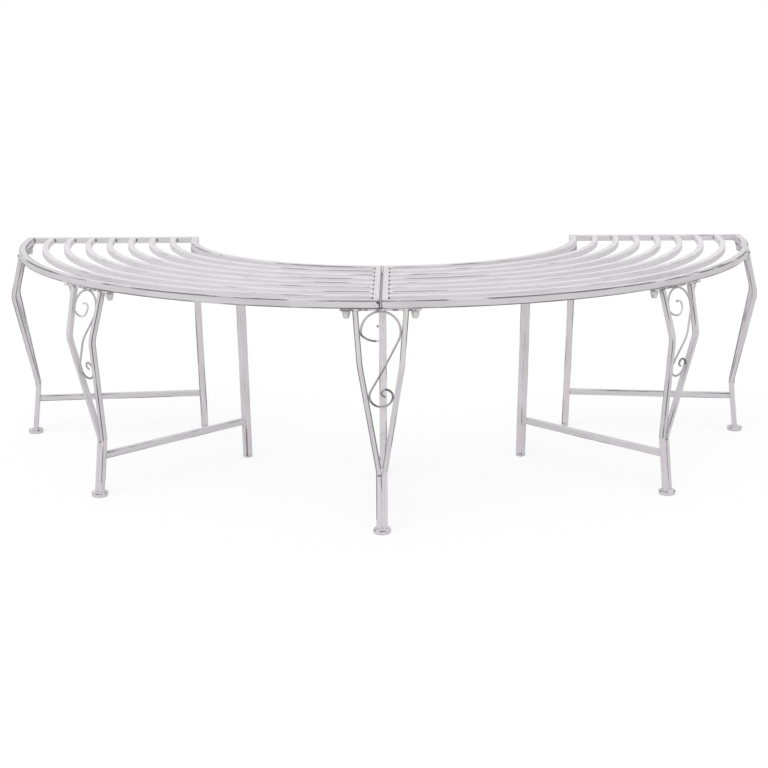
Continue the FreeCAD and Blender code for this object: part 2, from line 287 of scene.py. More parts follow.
def painted_metal(name, attribute, wear, paint, shade, stain, bare, stained=None):
    """Worn paint placed by an attribute of the mesh, or by where the piece stands. It is
    stained over a span of height, or over a span of rub, from none to fully."""
    material, net, shader = new_material(name)
    if attribute:
        place = added(net, "ShaderNodeAttribute", {}, attribute_name=attribute).outputs["Vector"]
    else:
        place = added(net, "ShaderNodeTexCoord", {}).outputs["Object"]
    rub = added(net, "ShaderNodeAttribute", {}, attribute_name="rub").outputs["Fac"]
    finish = added(net, "ShaderNodeGroup",
                   {"Place": place, "Rub": rub, "Wear": wear, "Paint": (*paint, 1),
                    "Shade": (*shade, 1), "Stain": (*stain, 1), "Bare": (*bare, 1)},
                   node_tree=worn_paint)
    if stained:
        measure, none_at, full_at = stained
        value = rub
        if measure == "height":
            spot = added(net, "ShaderNodeTexCoord", {}).outputs["Object"]
            value = added(net, "ShaderNodeSeparateXYZ", {"Vector": spot}).outputs["Z"]
        span = added(net, "ShaderNodeMapRange", {"Value": value, "From Min": none_at,
                                                 "From Max": full_at})
        feed(net, finish, {"Stained": span.outputs["Result"]})
    bump = added(net, "ShaderNodeBump", {"Strength": 0.25, "Distance": 0.0004,
                                         "Height": finish.outputs["Height"]})
    feed(net, shader, {"Base Color": finish.outputs["Color"],
                       "Roughness": finish.outputs["Roughness"], "Normal": bump.outputs["Normal"]})
    return material


pair_paint = painted_metal("pair_paint", "straight", wear=1.15, paint=antique_white,
                           shade=antique_shade, stain=water_stain, bare=rubbed_grey,
                           stained=("height", 0.34, plate_underside))

# How much each pair is rubbed, its left tube and then its right one: the whole tube, and
# its shin, from the kink to the bulge
pair_rubs = {"left_end": (0.82, 0.86), "left_middle": (0.70, 0.98), "centre": (1.15, 0.85),
             "right_middle": (0.82, 0.84), "right_end": (0.80, 0.82)}
shin_rubs = {"left_end": (1.15, 1.15), "left_middle": (1, 1), "centre": (1, 1),
             "right_middle": (1.14, 0.86), "right_end": (1.06, 1.06)}
low_rub = 0.78
foot_weld_reach = 0.020


def rub_in_measure(tube, measure, shin_rub):
    """Rubs one bent tube more or less than its neighbours, by its own share between the
    kink and the bulge, less below the kink, and not at all on the weld at the foot."""
    rub = tube.verts.layers.float["rub"]
    for point in tube.verts:
        above_foot = min((point.co.z - foot_top) / foot_weld_reach, 1)
        if point.co.z < kink_level:
            share = low_rub
        elif point.co.z < bulge_level:
            share = shin_rub
        else:
            share = 1
        point[rub] *= measure * above_foot * share


pair_side_at = rounded_line(pair_levels, pair_sides, pair_bends)
pair_radius_at = rounded_line(pair_levels, pair_radii, pair_bends)
for number, name in enumerate(frames):
    for side, sign, measure, shin_rub in zip(("left", "right"), (-1, 1), pair_rubs[name],
                                             shin_rubs[name]):
        tube = straight_tube(pair_size, pair_corner, foot_top, plate_underside, pair_rows)
        shift_pattern(tube, number + 0.5 * sign)
        rub_in_measure(tube, measure, shin_rub)
        bend_upright(tube, pair_side_at, pair_radius_at)
        bmesh.ops.scale(tube, vec=(sign, 1, 1), verts=tube.verts)
        tube.transform(at_frame(name))
        in_place_of("%s_%s_tube" % (name, side), tube, pair_paint)

# Scrolls: one 4 mm round rod in each pair, bent cold round pins to an S, folded with the
# tubes at their bulge, and tacked to both tubes and to the top plate. Its paint is thin.
rod_radius = 0.002
rod_sides = 12
rod_end_round = 0.0009
run_rows = 24
upper_loop, upper_height = 0.03497, 0.05877
lower_loop, lower_height = 0.02086, -0.06053
rod_tilt = math.asin((upper_loop + lower_loop) / (upper_height - lower_height))
lower_loop_length = lower_loop * (math.pi + rod_tilt)
# Each bend's radius and degrees, and how much it is rubbed
upper_bends = [(upper_loop, 212.4), (0.0085, 46), (0.036, 40), (0.017, 90), (0.0097, 105),
               (0.0097, 18)]
upper_rubs = [0.84, 1.0, 0.92, 0.30, 0.38, 1.3]
lower_bends = [(lower_loop, 50), (lower_loop, 130 + math.degrees(rod_tilt)), (0.013, 90),
               (0.007, 180)]
lower_rubs = [0.92, 1.4, 1.3, 0.92]
run_rub = 0.85
# How much each frame's scroll is rubbed: its upper half, its lower loop and its lower curl
scroll_rubs = {"left_end": (0.70, 0.60, 0.60), "left_middle": (0.62, 0.60, 0.64),
               "centre": (1.0, 1.0, 1.0), "right_middle": (0.62, 0.62, 1.10),
               "right_end": (0.70, 0.60, 0.60)}
scroll_pattern = 60
thin_paint = (0.53, 0.508, 0.525)
thick_paint = (0.76, 0.73, 0.765)
rod_shade = (0.42, 0.40, 0.41)
bare_rod = (0.09, 0.086, 0.09)
rod_paint = painted_metal("rod_paint", "straight", wear=0.95, paint=thin_paint,
                          shade=rod_shade, stain=thick_paint, bare=bare_rod,
                          stained=("rub", 0.60, 0.35))
outwards = Vector((0, -1, 0))
run_side = Vector((math.cos(rod_tilt), 0, -math.sin(rod_tilt)))
run_top = Vector((0, 0, upper_height)) + run_side * upper_loop
run_bottom = Vector((0, 0, lower_height)) - run_side * lower_loop


def end_ring(made):
    """The open ring of edges and points that a sweep ends in."""
    return [part for part in made["geom_last"] if not isinstance(part, bmesh.types.BMFace)]


def bend_rod(rod, ring, point, heading, bends, rubs, along):
    """Carries the rod's open end round one bend after another, each to the left as seen
    from outside the bench. Each bend is rubbed in its own measure."""
    straight = rod.verts.layers.float_vector["straight"]
    rub = rod.verts.layers.float["rub"]
    for (radius, degrees), worn in zip(bends, rubs):
        centre = point + outwards.cross(heading) * radius
        steps = round(4 + degrees / 10)
        turn = math.radians(degrees) / steps
        swing = Matrix.Rotation(turn, 3, outwards)
        for _ in range(steps):
            ring = end_ring(bmesh.ops.spin(rod, geom=ring, cent=centre, axis=outwards,
                                           dvec=(0, 0, 0), angle=turn, steps=1,
                                           use_duplicate=False))
            for end in points_of(ring):
                end[straight] = end[straight] + Vector((0, 0, radius * turn * along))
                end[rub] = worn
            point = centre + swing @ (point - centre)
            heading = swing @ heading


def fold_at_bulge(rod):
    """Lays a flat drawing, with heights from the bulge, into the plane of the bent pair."""
    upper_lean = math.atan2(pair_radii[2] - pair_radii[3], plate_underside - bulge_level)
    lower_lean = math.atan2(pair_radii[2] - pair_radii[1], bulge_level - kink_level)
    for point in rod.verts:
        lean = upper_lean if point.co.z > 0 else lower_lean
        level = bulge_level + point.co.z * math.cos(lean)
        radius, slope = pair_radius_at(level)
        depth = point.co.y / math.hypot(1, slope)
        point.co.y = depth - radius
        point.co.z = level + depth * slope


def s_scroll():
    """The rod: its straight run, then the bends on from both its ends."""
    rod = bmesh.new()
    run = run_top - run_bottom
    across = Matrix.Translation(run_bottom) @ run.to_track_quat("Z", "Y").to_matrix().to_4x4()
    bmesh.ops.create_circle(rod, cap_ends=False, segments=rod_sides, radius=rod_radius,
                            matrix=across)
    straight = rod.verts.layers.float_vector.new("straight")
    rub = rod.verts.layers.float.new("rub")
    for point in rod.verts:
        point[straight] = across.inverted() @ point.co
        point[rub] = run_rub
    start = rod.verts[:] + rod.edges[:]
    finish = end_ring(bmesh.ops.spin(rod, geom=start, cent=(0, 0, 0), axis=outwards,
                                     dvec=run / run_rows, angle=0, steps=run_rows,
                                     use_duplicate=False))
    for point in rod.verts:
        point[straight].z = (across.inverted() @ point.co).z
    heading = run.normalized()
    bend_rod(rod, finish, run_top, heading, upper_bends, upper_rubs, 1)
    bend_rod(rod, start, run_bottom, -heading, lower_bends, lower_rubs, -1)
    ends = [edge for edge in rod.edges if edge.is_boundary]
    bmesh.ops.holes_fill(rod, edges=ends)
    rounded_off(rod, ends, rod_end_round, corner_segments)
    fold_at_bulge(rod)
    return rod


for number, name in enumerate(frames):
    scroll = s_scroll()
    upper_rub, loop_rub, curl_rub = scroll_rubs[name]
    rub = scroll.verts.layers.float["rub"]
    straight = scroll.verts.layers.float_vector["straight"]
    for point in scroll.verts:
        if point[straight].z > 0:
            point[rub] *= upper_rub
        elif point[straight].z > -lower_loop_length:
            point[rub] *= loop_rub
        else:
            point[rub] *= curl_rub
    shift_pattern(scroll, scroll_pattern + number)
    scroll.transform(at_frame(name))
    in_place_of(name + "_scroll", scroll, rod_paint)

# Top plates: 3 mm flat steel, 144 mm long on the bent pairs and 44 mm on the inner legs,
# sheared to length, with their edges just broken. The rims are bolted down on them.
plate_break = 0.0006
plate_margin = 0.0015
plate_length = 0.144
plate_width = 0.020
plate_overhang = 0.002
plate_outside = outer_line + rim_size / 2 + plate_overhang
inner_plate_length = 0.044
small_paint = painted_metal("small_paint", None, wear=0.95, paint=antique_white,
                            shade=antique_shade, stain=water_stain, bare=rubbed_grey)


def repeated(shape, places):
    """A piece repeated at each of these places, all in one mesh."""
    drawn = all_of(shape)
    for place in places:
        copy = bmesh.ops.duplicate(shape, geom=drawn)["geom"]
        bmesh.ops.transform(shape, matrix=place, verts=points_of(copy))
    bmesh.ops.delete(shape, geom=points_of(drawn), context="VERTS")
    return shape


def at_every_frame(shape):
    """A piece that is drawn at the front, repeated at all five frames."""
    return repeated(shape, [at_frame(name) for name in frames])


def flat_plate(low, high):
    """A plate between two corners, with its edges broken. Its wide faces keep their paint."""
    shape = bmesh.new()
    rub = shape.verts.layers.float.new("rub")
    bmesh.ops.create_cube(shape, size=1,
                          matrix=Matrix.LocRotScale((low + high) / 2, None, high - low))
    rounded_off(shape, shape.edges[:], plate_break, segments=2)
    for point in shape.verts:
        point[rub] = 1.0
    wide = [face for face in shape.faces if abs(face.normal.z) > 0.99]
    bmesh.ops.inset_individual(shape, faces=wide, thickness=plate_margin, use_even_offset=True)
    for face in wide:
        for point in face.verts:
            point[rub] = 0.0
    return shape


for name in frames:
    plate = flat_plate(Vector((-plate_length / 2, -plate_outside, plate_underside)),
                       Vector((plate_length / 2, plate_width - plate_outside, plate_top)))
    plate.transform(at_frame(name))
    in_place_of(name + "_outer_plate", plate, small_paint)
inner_plate = flat_plate(
    Vector((-inner_plate_length / 2, -inner_line - rim_size / 2, plate_underside)),
    Vector((inner_plate_length / 2, -inner_line + rim_size / 2, plate_top)))
in_place_of("inner_plates", at_every_frame(inner_plate), small_paint)

# Inner legs: 15 mm square tube, straight, leaning a little towards the tree. The inner
# plate is welded on top, and the lower end is left open for a plastic cap.
leg_corner = 0.0018
leg_lean = 0.010
leg_rows = 60
leg_pattern = 10
leg_end, leg_end_rub = 0.001, 1.15
cap_top = 0.0045
# The legs' white is lighter than the rest of the paint. It is partly the paint's own tone and
# partly painted light for the shade under the seat.
leg_white_and_painted_light = (0.80, 0.768, 0.80)
# The centre leg's paint is a lighter copy of the leg paint: painted light, lifting the shade that
# the seat casts on it.
centre_leg_painted_light_white = (0.88, 0.845, 0.88)
centre_leg_painted_light_shade = (0.72, 0.688, 0.722)
rust_stain = (0.58, 0.55, 0.48)
leg_paint = painted_metal("leg_paint", "straight", wear=0.88, paint=leg_white_and_painted_light,
                          shade=antique_shade, stain=rust_stain, bare=rubbed_grey,
                          stained=("height", 0.39, plate_underside))
centre_leg_painted_light_paint = painted_metal("centre_leg_painted_light_paint", "straight", wear=0.84, paint=centre_leg_painted_light_white,
                                shade=centre_leg_painted_light_shade, stain=rust_stain, bare=rubbed_grey,
                                stained=("height", 0.35, plate_underside))
inner_leg_at = rounded_line([cap_top, plate_underside], [inner_line - leg_lean, inner_line], [])
middle_at = rounded_line([cap_top, plate_underside], [0, 0], [])
for number, name in enumerate(frames):
    leg = straight_tube(rim_size, leg_corner, cap_top, plate_underside, leg_rows)
    rub = leg.verts.layers.float["rub"]
    for point in leg.verts:
        if point.co.z < cap_top + leg_end:
            point[rub] = leg_end_rub
    shift_pattern(leg, leg_pattern + number)
    bend_upright(leg, middle_at, inner_leg_at)
    leg.transform(at_frame(name))
    # The centre leg takes the lighter copy, which is painted light.
    paint = centre_leg_painted_light_paint if name == "centre" else leg_paint
    in_place_of(name + "_inner_leg", leg, paint)

# Stretchers: a length of 12.5 mm tube between the pair and the inner leg, near the floor,
# cut to their faces and welded at both ends.
stretcher_size = 0.0125
stretcher_corner = 0.0015
stretcher_rows = 60
stretcher_pattern = 20
stretcher_level = 0.080
stretcher_rubs = {"left_end": 0.79, "left_middle": 0.79, "centre": 0.79,
                  "right_middle": 0.70, "right_end": 0.79}
into_leg, into_pair = 0.0004, 0.0012
stretcher_near = inner_leg_at(stretcher_level)[0] + rim_size / 2 - into_leg
stretcher_far = pair_radius_at(stretcher_level)[0] - pair_size / 2 + into_pair
for number, name in enumerate(frames):
    stretcher = straight_tube(stretcher_size, stretcher_corner, stretcher_near, stretcher_far,
                              stretcher_rows)
    shift_pattern(stretcher, stretcher_pattern + number)
    rub = stretcher.verts.layers.float["rub"]
    for point in stretcher.verts:
        point[rub] *= stretcher_rubs[name]
    stretcher.transform(at_frame(name) @ Matrix.Translation((0, 0, stretcher_level))
                        @ Matrix.Rotation(math.pi / 2, 4, "X"))
    in_place_of(name + "_stretcher", stretcher, pair_paint)

# Foot discs: 32 mm round steel, turned with a soft lower edge and a sharp upper one, which
# is rubbed to grey. A pair stands welded on the middle of each.
disc_radius = 0.016
disc_lower_round = 0.0025
disc_upper_round = 0.001
disc_middle = pair_radii[0]
# The unrubbed middle of a disc's faces starts this share of the radius from their edge
disc_margin = 0.15
# Nearer than this counts as touching
hair = 1e-5


def turned_disc(radius, bottom, top, lower_round, upper_round, sides):
    """A short round bar, upright at the origin, with both its edges rounded. The layer rub
    is 1 round the upper edge."""
    shape = bmesh.new()
    rub = shape.verts.layers.float.new("rub")
    bmesh.ops.create_cone(shape, cap_ends=True, segments=sides, radius1=radius, radius2=radius,
                          depth=top - bottom,
                          matrix=Matrix.Translation((0, 0, (bottom + top) / 2)))
    for level, size, worn in ((bottom, lower_round, 0.0), (top, upper_round, 1.0)):
        edge = [line for line in shape.edges
                if all(abs(end.co.z - level) < hair for end in line.verts)]
        for point in rounded_off(shape, edge, size, segments=4):
            point[rub] = worn
    ends = [face for face in shape.faces if abs(face.normal.z) > 0.99 and len(face.verts) > 4]
    bmesh.ops.inset_individual(shape, faces=ends, thickness=radius * disc_margin,
                               use_even_offset=True)
    for face in ends:
        for point in face.verts:
            point[rub] = 0.0
    return shape


disc_paint = painted_metal("disc_paint", None, wear=0.98, paint=antique_white,
                           shade=antique_shade, stain=water_stain, bare=rubbed_grey)
foot = turned_disc(disc_radius, 0, foot_top, disc_lower_round, disc_upper_round, sides=48)
foot.transform(Matrix.Translation((0, -disc_middle, 0)))
in_place_of("foot_discs", at_every_frame(foot), disc_paint)

# Leg caps: white moulded plastic, pushed into the open lower end of each inner leg. The
# part that shows is as wide as the leg, with a soft lower edge.
cap_round = 0.0015
# The caps turn greyer over their lowest few millimetres, darkest at the bottom.
low_grey_height = 0.003
cap_white = (0.74, 0.73, 0.73, 1)
low_grey = (0.50, 0.48, 0.47, 1)


def white_plastic_finish():
    """Plain moulded plastic with a faint grain, greyer towards the bottom."""
    material, net, shader = new_material("white_plastic")
    place = added(net, "ShaderNodeTexCoord", {}).outputs["Object"]
    grain = added(net, "ShaderNodeTexNoise", {"Vector": place, "Scale": 900})
    height = added(net, "ShaderNodeSeparateXYZ", {"Vector": place})
    low_grey_share = added(net, "ShaderNodeMapRange", {"Value": height.outputs["Z"],
                                             "From Min": low_grey_height, "From Max": 0.0})
    bump = added(net, "ShaderNodeBump", {"Strength": 0.15, "Distance": 0.0002,
                                         "Height": grain.outputs["Fac"]})
    feed(net, shader, {"Base Color": mixed(net, low_grey_share.outputs["Result"], cap_white, low_grey),
                       "Roughness": 0.45, "Normal": bump.outputs["Normal"]})
    return material


cap = bmesh.new()
cap_middle = Vector((0, leg_lean - inner_line, cap_top / 2))
bmesh.ops.create_cube(cap, size=1, matrix=Matrix.LocRotScale(cap_middle, None,
                                                             (rim_size, rim_size, cap_top)))
upright = [edge for edge in cap.edges
           if abs(edge.verts[0].co.z - edge.verts[1].co.z) > cap_top / 2]
rounded_off(cap, upright, leg_corner, corner_segments)
lower = [edge for edge in cap.edges if all(end.co.z < hair for end in edge.verts)]
rounded_off(cap, lower, cap_round, corner_segments)
in_place_of("leg_caps", at_every_frame(cap), white_plastic_finish())

# Seat rims and slats: two quarter-round sections, with rims of 15 mm tube and seven slats
# of 12.5 mm tube, rolled to rings. The slats butt on the bars at both ends.
slat_size = 0.0125
slat_corner = 0.0015
slat_count = 7
rim_corner = 0.0018
seam_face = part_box("right_outer_rim")[0].x
seam_bar_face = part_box("right_seam_bar")[1].x
seat_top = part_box("right_outer_rim")[1].z
ring_rows = 96
overrun = math.radians(3)
section_pattern = 30
# How far an end's own wear reaches, and how much it is rubbed at the seam and at the back
rim_end, rim_end_rubs = 0.004, (1.6, 0.4)
slat_end, slat_end_rubs = 0.009, (0.0, 0.0)
# Slats are rubbed more up to 12 degrees from the seam, which fades over the next 14
seam_rub, far_rub = 1.10, 0.93
seam_rub_degrees, fade_degrees = 12, 14
scuffs = [(47.5, 50.5), (53.5, 58.5)]
scuff_rub = 0.9
outer_half = 0.001
pink_stain = (0.57, 0.522, 0.53)
rubbed_brown = (0.135, 0.120, 0.120)
rim_paint = painted_metal("rim_paint", "straight", wear=1.1, paint=antique_white,
                          shade=antique_shade, stain=pink_stain, bare=rubbed_brown)
# The slats' white is lighter than the rims'. It is partly the paint's own tone and partly painted
# light for the shade that neighbouring slats cast on their faces.
slat_white_and_painted_light = (0.82, 0.788, 0.826)
slat_shade = (0.71, 0.682, 0.717)
slat_stain = (0.69, 0.65, 0.67)
bare_slat = (0.32, 0.31, 0.32)
slat_paint = painted_metal("slat_paint", "straight", wear=0.80, paint=slat_white_and_painted_light,
                           shade=slat_shade, stain=slat_stain, bare=bare_slat)
bar_white = (0.76, 0.73, 0.765)
bar_shade = (0.66, 0.633, 0.665)
bar_stain = (0.66, 0.63, 0.65)
bare_bar = (0.22, 0.21, 0.22)
bar_paint = painted_metal("bar_paint", "straight", wear=0.85, paint=bar_white,
                          shade=bar_shade, stain=bar_stain, bare=bare_bar)


def quarter_ring(size, corner, radius, front_face, back_face, end_length, end_rubs):
    """A square tube turned round the tree from the seam to the straight back, and cut
    square to the two bars that it meets. Its ends are rubbed more, or less, than the rest."""
    shape = bmesh.new()
    profile = Matrix.Translation((0, -radius, seat_top - size / 2))
    rounded_square(shape, size, corner, profile @ Matrix.Rotation(math.pi / 2, 4, "Y"))
    bmesh.ops.rotate(shape, matrix=Matrix.Rotation(-overrun, 3, "Z"), verts=shape.verts)
    bmesh.ops.spin(shape, geom=all_of(shape), cent=(0, 0, 0), axis=(0, 0, 1), dvec=(0, 0, 0),
                   angle=math.pi / 2 + 2 * overrun, steps=ring_rows, use_duplicate=False)
    rub = shape.verts.layers.float["rub"]
    for end, past_end, worn in ((Vector((front_face, 0, 0)), Vector((-1, 0, 0)), end_rubs[0]),
                                (Vector((0, -back_face, 0)), Vector((0, 1, 0)), end_rubs[1])):
        cut = bmesh.ops.bisect_plane(shape, geom=all_of(shape), plane_co=end, plane_no=past_end,
                                     clear_outer=True)
        bmesh.ops.holes_fill(shape, edges=[part for part in cut["geom_cut"]
                                           if isinstance(part, bmesh.types.BMEdge)])
        bmesh.ops.bisect_plane(shape, geom=all_of(shape), plane_co=end - past_end * end_length,
                               plane_no=past_end)
        for point in shape.verts:
            if abs((point.co - end).dot(past_end)) < hair:
                point[rub] = worn
    straight = shape.verts.layers.float_vector.new("straight")
    for point in shape.verts:
        out = math.hypot(point.co.x, point.co.y)
        point[straight] = (out, point.co.z, math.atan2(point.co.x, -point.co.y) * out)
    return shape


def mirrored(shape, sign):
    """A copy of a piece of the right section, in that section or mirrored to the left."""
    copy = shape.copy()
    copy.transform(Matrix.Translation(tree) @ Matrix.Diagonal((sign, 1, 1, 1)))
    return copy


def in_section(shape, sign):
    """A tube of one of the sections, rubbed unlike its mirror image."""
    copy = mirrored(shape, sign)
    shift_pattern(copy, section_pattern * sign)
    return copy


def right_and_left(node, shape, material):
    """The right section's piece, and its mirror image in the left section."""
    for side, sign in (("right", 1), ("left", -1)):
        in_place_of("%s_%s" % (side, node), in_section(shape, sign), material)


def rub_by_seam(shape):
    """Rubs a slat more near the seam, where people lean on their hands to sit down."""
    rub = shape.verts.layers.float["rub"]
    for point in shape.verts:
        degrees = math.degrees(math.atan2(point.co.x, -point.co.y))
        share = min(max((degrees - seam_rub_degrees) / fade_degrees, 0), 1)
        point[rub] *= seam_rub + (far_rub - seam_rub) * share
    return shape


def scuff_top(shape):
    """Rubs the outer half of a rim's top where people have sat down on the right section."""
    rub = shape.verts.layers.float["rub"]
    for point in shape.verts:
        from_tree = point.co - tree
        degrees = math.degrees(math.atan2(from_tree.x, -from_tree.y))
        outside = math.hypot(from_tree.x, from_tree.y) > outer_line + outer_half
        on_top = point.co.z > seat_top - rim_corner
        if outside and on_top and any(low < degrees < high for low, high in scuffs):
            point[rub] = scuff_rub
    return shape


inner_rim = quarter_ring(rim_size, rim_corner, inner_line, seam_face, 0, rim_end, rim_end_rubs)
right_and_left("inner_rim", inner_rim, bar_paint)
outer_rim = quarter_ring(rim_size, rim_corner, outer_line, seam_face, 0, rim_end, rim_end_rubs)
in_place_of("right_outer_rim", scuff_top(in_section(outer_rim, 1)), rim_paint)
in_place_of("left_outer_rim", in_section(outer_rim, -1), rim_paint)
slat_radii = []
for number in range(1, slat_count + 1):
    node = "slat_%d" % number
    slat_radii.append(math.hypot(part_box("right_" + node)[1].x, slat_size) - slat_size / 2)
    slat = quarter_ring(slat_size, slat_corner, slat_radii[-1], seam_bar_face, slat_size,
                        slat_end, slat_end_rubs)
    right_and_left(node, rub_by_seam(slat), slat_paint)

# End bars and seam bars: straight lengths of the slats' tube, welded between the rims, one
# at each straight end of a section and one on each side of the seam.
bar_rows = 50
bar_rub, seam_side_rub = 0.8, 1.5
into_rim = 0.0003
bar_level = seat_top - slat_size / 2
end_bar_place = (Matrix.Translation((0, -slat_size / 2, bar_level))
                 @ Matrix.Rotation(math.pi / 2, 4, "Y"))
seam_bar_place = (Matrix.Translation((seam_face + slat_size / 2, 0, bar_level))
                  @ Matrix.Rotation(math.pi / 2, 4, "X"))
for node, place, pattern in (("end_bar", end_bar_place, 40), ("seam_bar", seam_bar_place, 50)):
    bar = straight_tube(slat_size, slat_corner, inner_line + rim_size / 2 - into_rim,
                        outer_line - rim_size / 2, bar_rows)
    shift_pattern(bar, pattern)
    bar.transform(place)
    rub = bar.verts.layers.float["rub"]
    for point in bar.verts:
        at_seam = node == "seam_bar" and point.co.x < seam_face + slat_size / 2
        point[rub] *= seam_side_rub if at_seam else bar_rub
    right_and_left(node, bar, bar_paint)

# Welds: short beads where the tubes, the plates and the rods meet, left as they were laid
# and painted over. Much of their paint is rubbed off, so they show as dark lumps. The dark
# beads in the seat's corners, where the slats meet the bars, are partly painted shade.
weld_white = (0.70, 0.67, 0.69)
weld_shade = (0.50, 0.48, 0.49)
weld_paint = painted_metal("weld_paint", None, wear=0.85, paint=weld_white,
                           shade=weld_shade, stain=weld_shade, bare=bare_slat)
# Dark weld paint: burnt and rubbed welds, and partly painted shade on the seat's corner beads.
burnt_paint_and_shade = (0.45, 0.43, 0.44)
burnt_shade = (0.30, 0.29, 0.30)
burnt_stain = (0.24, 0.23, 0.20)
bare_metal = (0.09, 0.088, 0.085)
bare_weld_and_shade = painted_metal("bare_weld_and_shade", None, wear=1.4, paint=burnt_paint_and_shade,
                          shade=burnt_shade, stain=burnt_stain, bare=bare_metal)
sideways, inwards, upwards = Vector((1, 0, 0)), Vector((0, 1, 0)), Vector((0, 0, 1))
# Each bead's length and width
wide_mark, small_mark = (0.0095, 0.0030), (0.0036, 0.0030)
scroll_bead = (0.0050, 0.0036)
kink_bead = (0.013, 0.0062)
foot_bead = (0.009, 0.003)
plate_bead, front_bead = (0.008, 0.0028), (0.009, 0.0026)
stretcher_bead = (0.010, 0.0024)
leg_bead = (0.012, 0.003)
seam_bead, end_bead = (0.0065, 0.0045), (0.0075, 0.0040)
seam_lump, seam_run = (0.008, 0.0066), (0.010, 0.0030)
on_foot = foot_top + 0.0006
under_plate = plate_underside - 0.0008
half = pair_size / 2
scroll_tacks = [run_top, run_bottom, Vector((-upper_loop, 0, upper_height - 0.002)),
                Vector((0, 0, upper_height + upper_loop + 0.001)),
                Vector((lower_loop, 0, lower_height + 0.002))]
tack_outset = 1.03
stretcher_joints = (stretcher_near + 0.0006, stretcher_far - 0.0014)
lump_scale, lump_height = 300, 0.12
noise.seed_set(7)


def bead(shape, middle, direction, size):
    """A lump of weld of some length and width, laid along a direction."""
    length, width = size
    turn = direction.to_track_quat("Z", "Y").to_matrix().to_4x4()
    form = Matrix.Diagonal((width / 2, width / 2, length / 2, 1))
    made = bmesh.ops.create_uvsphere(shape, u_segments=8, v_segments=6, radius=1,
                                     matrix=Matrix.Translation(middle) @ turn @ form)
    for point in made["verts"]:
        point.co += noise.noise_vector(point.co * lump_scale) * width * lump_height


def add_shape(shape, other):
    """Adds another shape's mesh to a shape."""
    shape.from_mesh(mesh_of("part", other))


def finish_welds(name, shape, material):
    """A group of beads as one piece, rubbed all over."""
    rub = shape.verts.layers.float.new("rub")
    for point in shape.verts:
        point[rub] = 1.0
    finish_piece(name, shape, material)


def pair_point(side, level, out):
    """A point beside the pair's centre line, this far to the side and towards the front."""
    return Vector((side, -pair_radius_at(level)[0] - out, level))


wide_mark_middle = pair_point(-pair_sides[0], kink_level - 0.007, half - 0.0005)
small_mark_middle = pair_point(0.0006, kink_level - 0.004, half + 0.0008)
kink_middle = pair_point(0, kink_level + 0.003, half - 0.0008)
marks = bmesh.new()
for name in frames:
    mark = bmesh.new()
    if name == "centre":
        bead(mark, wide_mark_middle, sideways, wide_mark)
    else:
        bead(mark, small_mark_middle, upwards, small_mark)
    mark.transform(at_frame(name))
    add_shape(marks, mark)
    tacks = bmesh.new()
    for place in scroll_tacks:
        bead(tacks, place * tack_outset, upwards, scroll_bead)
    fold_at_bulge(tacks)
    welds = bmesh.new()
    add_shape(welds, tacks)
    bead(welds, kink_middle, upwards, kink_bead)
    for side in (-1, 1):
        outside = side * (pair_sides[0] + half)
        bead(welds, pair_point(outside, on_foot, 0), inwards, foot_bead)
        for face in (half, -half):
            bead(welds, pair_point(outside / 2, on_foot, face), sideways, foot_bead)
        top = side * pair_sides[3]
        for face in (half * side, -half * side):
            bead(welds, pair_point(top + face, under_plate, 0), inwards, plate_bead)
        bead(welds, pair_point(top, under_plate, half - 0.001), sideways, front_bead)
        for radius in stretcher_joints:
            bead(welds, Vector((side * stretcher_size / 2, -radius, stretcher_level)), upwards,
                 stretcher_bead)
        bead(welds, Vector((side * rim_size / 2, -inner_line, under_plate)), inwards, leg_bead)
    welds.transform(at_frame(name))
    finish_welds(name + "_welds", welds, weld_paint)
finish_welds("kink_marks", marks, bare_weld_and_shade)

# The slats' and the rims' joints with the bars: beads outside them at the seam, and inside
# them at the straight ends. The dark ones stand partly for welds and partly for painted
# shade in the corners where slat and bar meet.
seam_welds_and_shade = bmesh.new()
end_welds = bmesh.new()
tack_level = seat_top - 0.0055
by_seam_bar, outside_face = seam_bar_face + 0.0004, 0.0004
by_end_bar, inside_face = -slat_size - 0.0002, 0.0006
outer_faces = [inner_line + rim_size / 2] + [radius + slat_size / 2 for radius in slat_radii]
inner_faces = [outer_line - rim_size / 2] + [radius - slat_size / 2 for radius in slat_radii]
for radius in outer_faces:
    out = math.sqrt(radius ** 2 - seam_bar_face ** 2) + outside_face
    bead(seam_welds_and_shade, Vector((by_seam_bar, -out, tack_level)), upwards, seam_bead)
for radius in inner_faces:
    out = math.sqrt(radius ** 2 - slat_size ** 2) - inside_face
    bead(end_welds, Vector((out, by_end_bar, tack_level)), upwards, end_bead)
for side, sign, end_paint in (("right", 1, weld_paint), ("left", -1, bare_weld_and_shade)):
    finish_welds(side + "_end_welds", mirrored(end_welds, sign), end_paint)
finish_welds("right_seam_welds", mirrored(seam_welds_and_shade, 1), bare_weld_and_shade)
seam_front = Vector((seam_face, -outer_line - rim_size / 2, seat_top))
bead(seam_welds_and_shade, seam_front + Vector((0.0035, 0.0018, -0.0038)), sideways, seam_lump)
bead(seam_welds_and_shade, seam_front + Vector((0.0016, 0.0008, -0.0085)), upwards, seam_run)
finish_welds("left_seam_welds", mirrored(seam_welds_and_shade, -1), bare_weld_and_shade)

